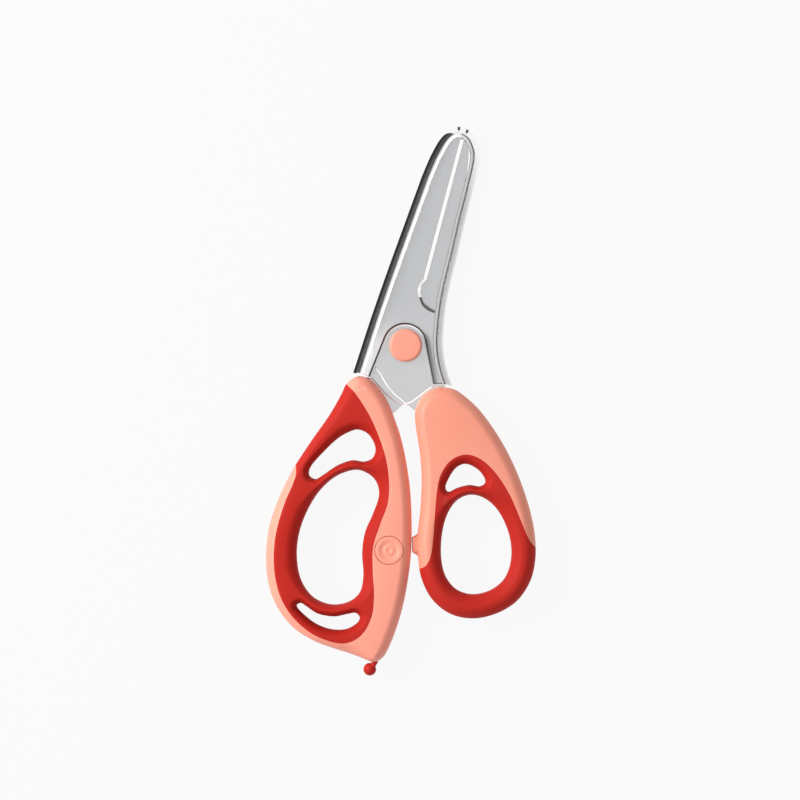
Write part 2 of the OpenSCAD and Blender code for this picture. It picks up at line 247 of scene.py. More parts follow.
def rounded_levels(low, high, rise, steps=9, fullness=1.6):
    """Levels of a slab whose edges are eased. A fullness of 2 is a round edge, 1 a plain chamfer."""
    quarter = [k / steps * math.pi / 2 for k in range(steps + 1)]
    eased = [(1 - math.sin(a) ** (2 / fullness), 1 - math.cos(a) ** (2 / fullness)) for a in quarter]
    bottom = [(low + rise * down, inset) for down, inset in reversed(eased)]
    top = [(high - rise * down, inset) for down, inset in eased]
    return bottom + top


def prism(name, outline, low, high):
    return loft(name, [wound(np.array(outline, float), True)], [(low, 0), (high, 0)])


def apply_boolean(piece, cutter, operation, keep_cutter=False):
    only(piece)
    change = piece.modifiers.new("boolean", "BOOLEAN")
    change.operation = operation
    change.object = cutter
    change.solver = "EXACT"
    change.material_mode = "TRANSFER"
    bpy.ops.object.modifier_apply(modifier=change.name)
    if not keep_cutter:
        bpy.data.objects.remove(cutter)
    return piece


def smooth_faces(piece, degrees=38):
    only(piece)
    bpy.ops.object.shade_smooth_by_angle(angle=math.radians(degrees))


def add_materials(piece, materials):
    for material in materials:
        piece.data.materials.append(material)
    return piece


def fit(piece, body, slot, materials, *nodes):
    """Gives a finished piece its materials and its body, and hides the CAD nodes that it stands for."""
    if not any(piece.data.materials):
        piece.data.materials.clear()
        add_materials(piece, materials)
    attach(piece, body)
    if nodes:
        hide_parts(*nodes)
    print(piece.name, "faces:", len(piece.data.polygons))
    return piece


# %% [markdown]
# ## Shared surface effects
# Moulded plastic, soft rubber and ground steel all have a fine grain, all are handled, and raised edges
# get a painted highlight. Each effect is a node group with named sockets, built once, so every material can
# set its own amount.

# %% Node groups
def new_group(name, inputs, outputs):
    group = bpy.data.node_groups.new(name, "ShaderNodeTree")
    for label, value in inputs:
        socket = group.interface.new_socket(label, in_out="INPUT", socket_type="NodeSocketFloat")
        socket.default_value = value
    for label in outputs:
        group.interface.new_socket(label, in_out="OUTPUT", socket_type="NodeSocketFloat")
    return group, group.nodes.new("NodeGroupInput"), group.nodes.new("NodeGroupOutput")


def math_node(tree, operation, a, b):
    node = tree.nodes.new("ShaderNodeMath")
    node.operation = operation
    for socket, value in zip(node.inputs, (a, b)):
        if isinstance(value, (int, float)):
            socket.default_value = value
        else:
            tree.links.new(value, socket)
    return node.outputs[0]


def noise(tree, scale, detail=3.0, stretch=(1, 1, 1), turn=0.0):
    place = tree.nodes.new("ShaderNodeTexCoord")
    mapping = tree.nodes.new("ShaderNodeMapping")
    mapping.inputs["Scale"].default_value = stretch
    mapping.inputs["Rotation"].default_value = (0, 0, turn)
    texture = tree.nodes.new("ShaderNodeTexNoise")
    texture.inputs["Detail"].default_value = detail
    tree.links.new(place.outputs["Object"], mapping.inputs["Vector"])
    tree.links.new(mapping.outputs["Vector"], texture.inputs["Vector"])
    if isinstance(scale, (int, float)):
        texture.inputs["Scale"].default_value = scale
    else:
        tree.links.new(scale, texture.inputs["Scale"])
    return texture.outputs["Fac"]


def make_moulded_grain():
    """Fine spark texture of a mould, and the slow unevenness of its colour."""
    group, given, result = new_group(
        "moulded_grain", [("Grain Scale", 3000.0), ("Unevenness", 0.5)], ["Height", "Shade"]
    )
    fine = noise(group, given.outputs["Grain Scale"])
    slow = noise(group, 45.0, detail=2.0)
    shade = math_node(group, "MULTIPLY", slow, given.outputs["Unevenness"])
    group.links.new(fine, result.inputs["Height"])
    group.links.new(shade, result.inputs["Shade"])
    return group


def make_wear_and_sheen():
    """A mask of raised edges, lightened partly as wear that hands and tables have polished and partly as a
    painted highlight.
    """
    group, given, result = new_group("edge_wear_and_sheen", [("Start", 0.5), ("Amount", 1.0)], ["Mask"])
    geometry = group.nodes.new("ShaderNodeNewGeometry")
    above = math_node(group, "SUBTRACT", geometry.outputs["Pointiness"], given.outputs["Start"])
    sharp = math_node(group, "MULTIPLY", math_node(group, "MAXIMUM", above, 0.0), 12.0)
    broken = math_node(group, "MULTIPLY", sharp, noise(group, 700.0))
    mask = math_node(group, "MINIMUM", math_node(group, "MULTIPLY", broken, given.outputs["Amount"]), 1.0)
    group.links.new(mask, result.inputs["Mask"])
    return group


def make_handling_marks():
    """Roughness that changes where fingers have been."""
    group, given, result = new_group(
        "handling_marks", [("Base Roughness", 0.4), ("Variation", 0.1)], ["Roughness"]
    )
    smear = noise(group, 130.0, detail=4.0, stretch=(1, 0.5, 1))
    swing = math_node(group, "MULTIPLY", math_node(group, "SUBTRACT", smear, 0.5), given.outputs["Variation"])
    roughness = math_node(group, "ADD", given.outputs["Base Roughness"], swing)
    group.links.new(roughness, result.inputs["Roughness"])
    return group


def make_grinding_lines():
    """Fine lines left by the grinding belt, along the blades."""
    group, given, result = new_group("grinding_lines", [("Line Scale", 900.0)], ["Height", "Streak"])
    blade_lean = math.radians(15)
    lines = noise(group, given.outputs["Line Scale"], stretch=(6, 0.12, 1), turn=blade_lean)
    band = noise(group, 60.0, detail=1.0, stretch=(3, 0.3, 1), turn=blade_lean)
    half_lines = math_node(group, "MULTIPLY", lines, 0.5)
    streak = math_node(group, "ADD", half_lines, math_node(group, "MULTIPLY", band, 0.5))
    group.links.new(lines, result.inputs["Height"])
    group.links.new(streak, result.inputs["Streak"])
    return group


GRAIN = make_moulded_grain()
WEAR_AND_SHEEN = make_wear_and_sheen()
MARKS = make_handling_marks()
LINES = make_grinding_lines()

# %% [markdown]
# ## Finishes
# The two plastics differ in colour and gloss: the hard salmon is satin, the soft grip is matt with a
# coarser grain. Steel is a plain metal with ground lines, painted lighter towards the tang. The shader
# itself stays in each material, and only what changes over the surface is linked to it.

# %% Materials
def start_material(name):
    material = bpy.data.materials.new(name)
    material.use_nodes = True
    tree = material.node_tree
    return material, tree, tree.nodes["Principled BSDF"]


def use(tree, group, **values):
    node = tree.nodes.new("ShaderNodeGroup")
    node.node_tree = group
    for label, value in values.items():
        node.inputs[label.replace("_", " ")].default_value = value
    return node


def mixed(tree, share, first, second):
    mix = tree.nodes.new("ShaderNodeMix")
    mix.data_type = "RGBA"
    tree.links.new(share, mix.inputs["Factor"])
    mix.inputs["A"].default_value = (*first, 1)
    if isinstance(second, tuple):
        mix.inputs["B"].default_value = (*second, 1)
    else:
        tree.links.new(second, mix.inputs["B"])
    return mix.outputs["Result"]


def bump(tree, shader, height, strength, depth):
    node = tree.nodes.new("ShaderNodeBump")
    node.inputs["Strength"].default_value = strength
    node.inputs["Distance"].default_value = depth
    tree.links.new(height, node.inputs["Height"])
    tree.links.new(node.outputs["Normal"], shader.inputs["Normal"])


def shares(tree, value, low, high, low_value=0.0, high_value=1.0):
    node = tree.nodes.new("ShaderNodeMapRange")
    node.clamp = True
    tree.links.new(value, node.inputs["Value"])
    ends = (("From Min", low), ("From Max", high), ("To Min", low_value), ("To Max", high_value))
    for label, number in ends:
        node.inputs[label].default_value = number
    return node.outputs["Result"]


def axis(tree, vector, name):
    parts = tree.nodes.new("ShaderNodeSeparateXYZ")
    tree.links.new(vector, parts.inputs[0])
    return parts.outputs[name]


def object_place(tree):
    return tree.nodes.new("ShaderNodeTexCoord").outputs["Object"]


def lighter(colour, share):
    return tuple(c + (1 - c) * share for c in colour)


def darker(colour, share):
    return tuple(c * (1 - share) for c in colour)


def moulded_plastic(name, colour, roughness, grain_scale, grain_depth, wear_and_sheen_amount, gloss=0.25):
    material, tree, shader = start_material(name)
    grain = use(tree, GRAIN, Grain_Scale=grain_scale, Unevenness=0.6)
    wear_and_sheen = use(tree, WEAR_AND_SHEEN, Start=0.53, Amount=wear_and_sheen_amount)
    touched = use(tree, MARKS, Base_Roughness=roughness, Variation=0.12)
    uneven = mixed(tree, grain.outputs["Shade"], darker(colour, 0.03), lighter(colour, 0.02))
    # Raised edges are painted lighter: partly wear, partly a painted highlight along the edges.
    mix = tree.nodes.new("ShaderNodeMix")
    mix.data_type = "RGBA"
    tree.links.new(wear_and_sheen.outputs["Mask"], mix.inputs["Factor"])
    tree.links.new(uneven, mix.inputs["A"])
    mix.inputs["B"].default_value = (*lighter(colour, 0.18), 1)
    tree.links.new(mix.outputs["Result"], shader.inputs["Base Color"])
    tree.links.new(touched.outputs["Roughness"], shader.inputs["Roughness"])
    bump(tree, shader, grain.outputs["Height"], 0.25, grain_depth)
    shader.inputs["Specular IOR Level"].default_value = gloss
    return material


def ground_steel(name, colour, roughness, line_scale=900.0):
    material, tree, shader = start_material(name)
    lines = use(tree, LINES, Line_Scale=line_scale)
    touched = use(tree, MARKS, Base_Roughness=roughness, Variation=0.08)
    blade_tint = mixed(tree, lines.outputs["Streak"], darker(colour, 0.04), lighter(colour, 0.12))
    # Painted light: every steel is painted much lighter towards the tang, below the pivot, standing in for
    # brighter light there.
    along = shares(tree, axis(tree, object_place(tree), "Y"), 0.012, -0.006)
    tint = mixed(tree, along, colour, lighter(colour, 0.72))
    tree.links.new(blade_tint, tint.node.inputs["A"])
    tree.links.new(tint, shader.inputs["Base Color"])
    tree.links.new(touched.outputs["Roughness"], shader.inputs["Roughness"])
    bump(tree, shader, lines.outputs["Height"], 0.12, 0.000004)
    shader.inputs["Metallic"].default_value = 1.0
    return material


SALMON = (0.98, 0.35, 0.25)
# Painted shade: the right handle's salmon is a darker copy of the left handle's, standing in for the dimmer
# light on it.
SALMON_RIGHT_SHADED = (0.9, 0.315, 0.215)
SALMON_CAP = (0.94, 0.34, 0.245)
RED = (0.5, 0.016, 0.008)

salmon_left = moulded_plastic("salmon_left_handle", SALMON, 0.42, 3200.0, 0.000015, 0.5)
salmon_right_shaded = moulded_plastic("salmon_right_handle", SALMON_RIGHT_SHADED, 0.42, 3200.0, 0.000015, 0.5)
salmon_cap = moulded_plastic("salmon_cap_gloss", SALMON_CAP, 0.34, 3600.0, 0.00001, 0.5)
salmon_dial = moulded_plastic("salmon_lever_cap", SALMON, 0.4, 3400.0, 0.00001, 0.5)
red_rubber = moulded_plastic("red_soft_grip", RED, 0.6, 2400.0, 0.00003, 0.12, 0.1)
red_acetal = moulded_plastic("red_lever_acetal", RED, 0.45, 3400.0, 0.00001, 0.15, 0.12)
steel_front = ground_steel("front_blade_steel", (0.78, 0.785, 0.795), 0.24)
steel_rear = ground_steel("rear_blade_steel", (0.79, 0.795, 0.805), 0.26)
# Painted highlight: the bevel's near-white steel also glows by emission, standing in for the bright light
# that it reflects.
steel_painted_glow = ground_steel("bevel_painted_glow", (0.98, 0.98, 0.99), 0.16, 1400.0)
bright_shader = steel_painted_glow.node_tree.nodes["Principled BSDF"]
bright_shader.inputs["Metallic"].default_value = 0.15
bright_shader.inputs["Emission Color"].default_value = (1, 1, 1, 1)
bright_shader.inputs["Emission Strength"].default_value = 0.42
# Painted shadow: near-black steel for the shaded lower stretch of the heel relief on the front blade.
steel_painted_shadow = ground_steel("painted_shadow_relief", (0.03, 0.03, 0.032), 0.5)
# Painted shade: a darker, less metallic grey for the sloped faces of the tang's coined steps.
steel_step_painted_shade = ground_steel("coined_step_painted_shade", (0.42, 0.425, 0.43), 0.5)
steel_step_painted_shade.node_tree.nodes["Principled BSDF"].inputs["Metallic"].default_value = 0.2
steel_turned = ground_steel("turned_steel", (0.62, 0.63, 0.65), 0.3, 1500.0)
nylon = moulded_plastic("natural_nylon", (0.86, 0.84, 0.78), 0.5, 3000.0, 0.00001, 0.2)

# %% [markdown]
# ## Clear moulding
# A clear plastic wall shows what is behind it. Real refraction is slow and noisy in such thin walls, so
# the reflections and shade that it would show are painted instead: the sheath mixes a painted dark
# reflection, painted grey shade and painted highlights into its tint and opacity, by the direction that the
# surface faces and by place, which stays put on the object from every view.

# %% Sheath materials
SIDE_DIRECTION = (-0.943, 0.332, 0.0)


def clear_plastic(name, colour, opacity, roughness=0.08):
    material, tree, shader = start_material(name)
    touched = use(tree, MARKS, Base_Roughness=roughness, Variation=0.05)
    grain = use(tree, GRAIN, Grain_Scale=500.0, Unevenness=1.0)
    tint = mixed(tree, grain.outputs["Shade"], darker(colour, 0.04), lighter(colour, 0.1))
    tree.links.new(tint, shader.inputs["Base Color"])
    tree.links.new(touched.outputs["Roughness"], shader.inputs["Roughness"])
    shader.inputs["Alpha"].default_value = opacity
    return material, tree, shader


def ramp(tree, value, stops):
    node = tree.nodes.new("ShaderNodeValToRGB")
    tree.links.new(value, node.inputs["Fac"])
    elements = node.color_ramp.elements
    while len(elements) < len(stops):
        elements.new(0.5)
    for element, (place, colour) in zip(elements, stops):
        element.position = place
        element.color = (*colour, 1)
    return node.outputs["Color"]


def true_normal(tree):
    """The outward normal in the object's own axes, even where the surface is seen from behind."""
    place = tree.nodes.new("ShaderNodeTexCoord")
    geometry = tree.nodes.new("ShaderNodeNewGeometry")
    sign = math_node(tree, "SUBTRACT", 1.0, math_node(tree, "MULTIPLY", geometry.outputs["Backfacing"], 2.0))
    scaled = tree.nodes.new("ShaderNodeVectorMath")
    scaled.operation = "SCALE"
    tree.links.new(place.outputs["Normal"], scaled.inputs["Vector"])
    tree.links.new(sign, scaled.inputs["Scale"])
    return scaled.outputs["Vector"], place.outputs["Object"]


def sideways(tree, normal, direction):
    """How squarely a wall faces a level direction, whatever its tilt: 1 is square on, -1 away."""
    level = tree.nodes.new("ShaderNodeVectorMath")
    level.operation = "MULTIPLY"
    level.inputs[1].default_value = (1, 1, 0)
    unit = tree.nodes.new("ShaderNodeVectorMath")
    unit.operation = "NORMALIZE"
    dot = tree.nodes.new("ShaderNodeVectorMath")
    dot.operation = "DOT_PRODUCT"
    dot.inputs[1].default_value = direction
    tree.links.new(normal, level.inputs[0])
    tree.links.new(level.outputs["Vector"], unit.inputs[0])
    tree.links.new(unit.outputs["Vector"], dot.inputs[0])
    return dot.outputs["Value"]


def blend(tree, share, first, second):
    """A float between two sockets."""
    mix = tree.nodes.new("ShaderNodeMix")
    tree.links.new(share, mix.inputs["Factor"])
    tree.links.new(first, mix.inputs["A"])
    tree.links.new(second, mix.inputs["B"])
    return mix.outputs["Result"]


def grey_ramp(tree, value, stops):
    return ramp(tree, value, [(place, (g, g, g)) for place, g in stops])


def sheath_side():
    """The rounded side wall: a painted dark reflection, nearly black, where it faces left, and a faint
    painted grey shade elsewhere.
    """
    material, tree, shader = clear_plastic("sheath_side_painted_reflection", (0.9, 0.91, 0.92), 0.2)
    normal, place = true_normal(tree)
    side = sideways(tree, normal, SIDE_DIRECTION)
    tilt = math_node(tree, "ABSOLUTE", axis(tree, normal, "Z"), 0.0)
    tilt_squared = math_node(tree, "POWER", tilt, 2.0)
    upright = math_node(tree, "SQRT", math_node(tree, "SUBTRACT", 1.0, tilt_squared), 0.0)
    inwards = math_node(tree, "MULTIPLY", math_node(tree, "SUBTRACT", 1.0, upright), 0.34)
    # Painted reflection: walls that face left are painted near black and almost opaque, standing in for a
    # dark reflection.
    left = shares(tree, math_node(tree, "ADD", side, inwards), 0.974, 0.984)
    down_blade = shares(tree, axis(tree, place, "Y"), 0.048, 0.034)
    dark_tint = grey_ramp(tree, tilt, [(0.0, 0.003), (0.5, 0.004), (0.66, 0.014), (0.8, 0.03), (0.95, 0.062)])
    # Painted shade: other walls get a faint grey that changes with their tilt and along the blade.
    painted_shade_tint = grey_ramp(tree, tilt, [(0.0, 0.4), (0.2, 0.85), (0.6, 0.6), (0.95, 0.4)])
    painted_shade_cover = grey_ramp(tree, tilt, [(0.0, 0.3), (0.2, 0.03), (0.5, 0.08), (0.95, 0.4)])
    tip_cover = grey_ramp(tree, tilt, [(0.0, 0.25), (0.2, 0.02), (0.95, 0.03)])
    painted_grey_shade = blend(tree, down_blade, tip_cover, painted_shade_cover)
    dark_cover = shares(tree, tilt, 0.0, 0.1, 0.99, 0.97)
    tint = tree.nodes.new("ShaderNodeMix")
    tint.data_type = "RGBA"
    tree.links.new(left, tint.inputs["Factor"])
    tree.links.new(painted_shade_tint, tint.inputs["A"])
    tree.links.new(dark_tint, tint.inputs["B"])
    tree.links.new(tint.outputs["Result"], shader.inputs["Base Color"])
    tree.links.new(blend(tree, left, painted_grey_shade, dark_cover), shader.inputs["Alpha"])
    shader.inputs["Specular IOR Level"].default_value = 0.03
    return material


def sheath_flat():
    """The broad faces: clear, with a pale painted highlight over the left leg and painted grey shade beside
    the arch.
    """
    material, tree, shader = clear_plastic("sheath_panel", (0.95, 0.96, 0.97), 0.05)
    normal, place = true_normal(tree)
    x, y = axis(tree, place, "X"), axis(tree, place, "Y")
    # Painted highlight: a pale layer over the left leg near the foot. Painted shade: a grey band beside the
    # arch's right leg.
    low = shares(tree, y, 0.007, 0.0005)
    across = math_node(tree, "SUBTRACT", x, math_node(tree, "MULTIPLY", y, 0.33))
    painted_leg_highlight = math_node(tree, "MULTIPLY", low, shares(tree, across, -0.0042, -0.0062, 0.0, 0.5))
    lean = math_node(tree, "ADD", x, math_node(tree, "MULTIPLY", y, 0.185))
    beside = math_node(tree, "MULTIPLY", shares(tree, lean, 0.0044, 0.0048), shares(tree, y, 0.004, 0.001))
    painted_grey_shade = math_node(tree, "MULTIPLY", shares(tree, lean, 0.0068, 0.0052, 0.0, 0.62), beside)
    cover = math_node(tree, "ADD", math_node(tree, "ADD", painted_leg_highlight, painted_grey_shade), 0.04)
    tint = mixed(tree, shares(tree, painted_grey_shade, 0.02, 0.2), (0.95, 0.96, 0.98), (0.1, 0.1, 0.105))
    tree.links.new(tint, shader.inputs["Base Color"])
    tree.links.new(cover, shader.inputs["Alpha"])
    return material


sheath_panel = sheath_flat()
sheath_wall_painted_reflection = sheath_side()
# Painted light of the clear rim: dark lines and near-black cut edges stand in for dark refractions, the
# near-white bevel is a painted highlight, and the foot edge a painted grey shade line.
sheath_dark = clear_plastic("sheath_painted_dark_line", (0.03, 0.03, 0.03), 0.75)[0]
sheath_painted_highlight = clear_plastic("sheath_bevel_painted_highlight", (0.98, 0.98, 0.98), 0.85)[0]
sheath_inside = clear_plastic("sheath_inside", (0.95, 0.96, 0.97), 0.04)[0]
sheath_black = clear_plastic("sheath_cut_edge_painted_dark", (0.008, 0.008, 0.008), 0.97)[0]
sheath_foot = clear_plastic("sheath_foot_edge_painted_shade", (0.1, 0.1, 0.105), 0.75)[0]
SHEATH_SLOTS = [sheath_panel, sheath_wall_painted_reflection, sheath_dark, sheath_painted_highlight, sheath_inside, sheath_black, sheath_foot]
PANEL, WALL, DARK, RING, INSIDE, BLACK, FOOT = range(7)

# %% [markdown]
# ## The left handle
# A hard salmon moulding runs down the inside edge, round the bottom and up the outer rim. The soft
# red grip fills the rest, with a finger hole, a small upper hole and a lower slot. The two meet
# flush, so one rounded body is made first and then divided along the seam.

# %% Left handle outlines, in millimetres
HANDLE_LOW, HANDLE_HIGH = (z / MM for z in (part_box("left_handle")[0].z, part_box("left_handle")[1].z))
MID = (HANDLE_LOW + HANDLE_HIGH) / 2
EDGE_RISE = 2.9
LEFT_OUTLINE = [
    (-12.2, -7.8), (-9.4, -8.3), (-7, -10.4), (-4.6, -14), (-2.6, -18.8), (-1, -23.8),
    (0.3, -30), (1.2, -37), (1.5, -44), (1.4, -51), (0.7, -58), (-0.6, -65), (-2.4, -71.2),
    (-4.6, -76.5), (-6.2, -78.6), (-8.2, -79.3), (-11.4, -78.1), (-14.7, -76.9), (-18, -75.9), (-23, -74),
    (-28, -70.8), (-31.8, -66.2), (-34.2, -60.5), (-35, -53.5), (-34.3, -46),
    (-32.4, -39.8), (-28.8, -32), (-24.1, -24.6), (-19.2, -17.6), (-16.2, -12.4), (-14.8, -9.6)
]
FINGER_HOLE = [
    (-13, -31.2), (-17.6, -32.9), (-21.6, -36.5), (-24.7, -41.5), (-26.7, -47),
    (-27.3, -52.8), (-26.3, -58.6), (-23.4, -62.9), (-19, -64.9), (-14.6, -64.4),
    (-11.5, -61.9), (-10.6, -57.5), (-10.9, -52), (-10.2, -46.9), (-8.2, -42.2),
    (-6.7, -37.6), (-7.4, -34.1), (-9.8, -31.9)
]
LEFT_UPPER_HOLE = [
    (-11.8, -21.1), (-9.2, -22.4), (-7.6, -25.5), (-8.2, -28.1), (-10.4, -29.1),
    (-13.5, -28.8), (-17.2, -30.1), (-20.6, -32.4), (-22.6, -33.5), (-24.2, -32.4),
    (-23.6, -30.1), (-20.4, -26.5), (-17.1, -23.4), (-14.2, -21.7)
]
LOWER_SLOT = [
    (-26.3, -64.5), (-24.8, -65.4), (-22, -67.2), (-18, -67.9), (-14.6, -67.3),
    (-12.6, -67), (-11.5, -68.2), (-12.4, -69.8), (-15.2, -71.2), (-19, -71.1),
    (-22.6, -69.7), (-25.6, -67.4), (-27.3, -65.4)
]
LEFT_SEAM = [
    (-18, -6.4), (-14.6, -9.9), (-12.6, -12), (-9.5, -16.7), (-7, -22), (-5.1, -27.6),
    (-4.2, -33.4), (-4.4, -39.3), (-6.4, -44.9), (-8.1, -50.4), (-8.2, -56.5),
    (-7.9, -62.5), (-8.6, -68.2), (-11.4, -72.8), (-16, -74.6), (-22.4, -72.7),
    (-27.6, -68.7), (-31.2, -63.2), (-32.9, -56), (-32.6, -47.8), (-30.4, -39.8),
    (-28.2, -34.6), (-27.4, -31.6), (-28.2, -29), (-32, -26)
]


def rounded_body(name, outline, holes, wanted):
    loops = [wound(smooth_loop(outline), True)] + [wound(smooth_loop(hole), False) for hole in holes]
    return loft(name, loops, rounded_levels(HANDLE_LOW, HANDLE_HIGH, EDGE_RISE), reaches(loops, wanted))


def divide(body, grip_name, seam, far_corners):
    """Splits a body along its seam and returns the hard moulding and the soft grip."""
    zone = prism("zone", np.concatenate([smooth_run(seam), np.array(far_corners, float)]), -2, 11)
    grip = body.copy()
    grip.data = body.data.copy()
    grip.name = grip.data.name = grip_name
    bpy.context.collection.objects.link(grip)
    apply_boolean(grip, zone, "INTERSECT", keep_cutter=True)
    apply_boolean(body, zone, "DIFFERENCE")
    return body, grip


left_shell = rounded_body(
    "left_handle_moulding", LEFT_OUTLINE, [FINGER_HOLE, LEFT_UPPER_HOLE, LOWER_SLOT], [2.6, 3.0, 2.4, 1.8]
)
left_shell, left_skin = divide(left_shell, "left_grip_overmould", LEFT_SEAM, [(-45, -26), (-45, -6.4)])

# %% [markdown]
# ## Slot and seat for the assist lever
# The lever lies in a flat slot that opens along the handle's inner edge and at its bottom, and its
# pin is covered by a round cap set flush in the front face. Both are cut out of the salmon moulding.

# %% Cut the slot and the seats
LEVER_PIVOT = np.array([(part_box("lever_cap")[0].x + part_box("lever_cap")[1].x) / 2,
                        (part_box("lever_cap")[0].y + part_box("lever_cap")[1].y) / 2]) / MM
BALL_R = 1.6
BALL_CENTRE = np.array([-9.0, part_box("assist_lever")[0].y / MM + BALL_R])
LEVER_T = (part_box("assist_lever")[1].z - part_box("assist_lever")[0].z) / MM
CAP_SEAT_R = 3.55
SWING = math.radians(frame["joints"][2]["range_deg"][1])
lever_way = BALL_CENTRE - LEVER_PIVOT
lever_length = np.linalg.norm(lever_way)
lever_way = lever_way / lever_length
lever_side = np.array([-lever_way[1], lever_way[0]])


def turned_way(way, angle):
    c, s = math.cos(angle), math.sin(angle)
    return np.array([c * way[0] - s * way[1], s * way[0] + c * way[1]])


open_way = turned_way(lever_way, SWING + math.radians(1))
open_side = turned_way(lever_side, SWING + math.radians(1))
slot_half = 1.5
slot_outline = [
    LEVER_PIVOT - slot_half * lever_side,
    LEVER_PIVOT - slot_half * lever_side + 36 * lever_way,
    np.array([14.0, -88.0]),
    LEVER_PIVOT + slot_half * open_side + 30 * open_way,
    LEVER_PIVOT + slot_half * open_side,
]
slot_low, slot_high = MID - LEVER_T / 2 - 0.15, MID + LEVER_T / 2 + 0.15
apply_boolean(left_shell, prism("slot", slot_outline, slot_low, slot_high), "DIFFERENCE")
hub_room = loft("hub_room", [circle(LEVER_PIVOT, 3.4)], [(slot_low, 0), (slot_high, 0)])
apply_boolean(left_shell, hub_room, "DIFFERENCE")
seat_profile = [
    (HANDLE_HIGH + 0.5, 0), (HANDLE_HIGH - 0.05, 0), (HANDLE_HIGH - 0.2, 0.15), (HANDLE_HIGH - 1.2, 0.15)
]
seat = loft("seat", [circle(LEVER_PIVOT, CAP_SEAT_R + 0.18)], seat_profile)
apply_boolean(left_shell, seat, "DIFFERENCE")
pin_hole = loft("pin_hole", [circle(LEVER_PIVOT, 2.2, 48)], [(-1, 0), (1.8, 0)])
apply_boolean(left_shell, pin_hole, "DIFFERENCE")
for piece in (left_shell, left_skin):
    smooth_faces(piece)
fit(left_shell, "left_half", "salmon_handle", [salmon_left], "left_handle")
fit(left_skin, "left_half", "red_grip", [red_rubber], "left_grip")

# %% [markdown]
# ## The right handle
# The thumb's handle is built the same way, with one more feature: a stub on its inner edge that
# meets the other handle and stops the blades as they close.

# %% Right handle outlines, in millimetres
RIGHT_OUTLINE = [
    (2.3, -17.5), (3, -14.5), (4.9, -12.1), (7.6, -10.8), (10.5, -10.6), (13.3, -11.6),
    (17.8, -15.4), (21.5, -20.1), (24.7, -25.2), (27.4, -30.6), (29.6, -36.2),
    (31.3, -41.8), (32.4, -47.6), (32.5, -53.6), (31.2, -59.1), (27.9, -64),
    (22.9, -67.1), (17, -68.4), (11.3, -67.3), (6.7, -63.7), (4, -58.5), (3.1, -53),
    (3, -47.5), (3.7, -41), (4, -34), (3.6, -27.5), (2.7, -21.5)
]
THUMB_HOLE = [
    (16.5, -37.4), (12.9, -38.8), (10.4, -42.4), (9.1, -47.4), (8.9, -53), (10, -57.8),
    (12.8, -61.2), (17, -62.4), (21.6, -61.2), (25, -58.1), (26.5, -53.2), (26, -47.6),
    (23.7, -42.2), (20.4, -38.7)
]
RIGHT_UPPER_HOLE = [
    (14.6, -29.7), (12.5, -30.8), (10.8, -33.3), (10, -35.5), (10.8, -36.7), (13, -35.7),
    (15.9, -35), (18.6, -35.3), (20, -34.2), (19, -32), (16.9, -30.3)
]
RIGHT_SEAM = [
    (-1, -57.5), (3.4, -56), (5.2, -54.9), (6.3, -52.4), (6.9, -48), (7.4, -41),
    (7.9, -36), (8.9, -32), (11.4, -28.7), (15, -27.3), (18.8, -28.5), (22.4, -31.8),
    (26, -37.3), (28.9, -44), (30.6, -48), (32.4, -50.4), (36, -53)
]
STOP_OUTLINE = [
    (6.4, -44.4), (4.6, -45.6), (3.4, -46.8), (2.6, -47.5), (1.6, -48.1), (1.6, -50), (1.6, -51.8),
    (2.6, -52.4), (3.4, -53.2), (4.6, -54.5), (6.4, -55.4), (6.4, -50)
]
STOP_HALF = 2.6
right_shell = rounded_body(
    "right_handle_moulding", RIGHT_OUTLINE, [THUMB_HOLE, RIGHT_UPPER_HOLE], [2.6, 3.4, 2.0]
)
stub_loop = [wound(np.array(STOP_OUTLINE, float), True)]
stub = loft("stub", stub_loop, rounded_levels(MID - STOP_HALF, MID + STOP_HALF, 1.7),
            [np.where(stub_loop[0][:, 0] < 2, 0.3, 1.3)])
apply_boolean(right_shell, stub, "UNION")
right_shell, right_skin = divide(right_shell, "right_grip_overmould", RIGHT_SEAM, [(38, -75), (-1, -75)])
for piece in (right_shell, right_skin):
    smooth_faces(piece)
fit(right_shell, "right_half", "salmon_handle", [salmon_right_shaded], "right_handle")
fit(right_skin, "right_half", "red_grip", [red_rubber], "right_grip")

# %% [markdown]
# ## Caps
# Both pivot caps and the cap over the lever's pin are small turned shapes. The loft helper makes
# them from one circle, and the list of levels is the profile of the edge.

# %% Pivot caps and lever cap
CAP_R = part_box("front_pivot_cap")[1].x / MM
CAP_ROUND = 0.8


def cap_levels(low, high):
    """Levels of a cap from its open side at low to its rounded face at high."""
    up = 1 if high > low else -1
    arc = [k / 7 * math.pi / 2 for k in range(8)]
    rim = [(high - up * CAP_ROUND * (1 - math.sin(a)), CAP_ROUND * (1 - math.cos(a))) for a in arc]
    return [(low, 0.2), (low + up * 0.2, 0)] + rim + [(high - up * 0.01, CAP_R - 0.4)]


def pivot_cap(name, node, low, high):
    piece = loft(name, [circle((0, 0), CAP_R)], cap_levels(low, high))
    smooth_faces(piece, 50)
    return fit(piece, "left_half", "salmon_cap", [salmon_cap], node)


front_low, front_high = (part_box("front_pivot_cap")[k].z / MM for k in (0, 1))
back_low, back_high = (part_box("back_pivot_cap")[k].z / MM for k in (0, 1))
pivot_cap("front_cap_moulding", "front_pivot_cap", front_low, front_high)
pivot_cap("back_cap_moulding", "back_pivot_cap", back_high, back_low)

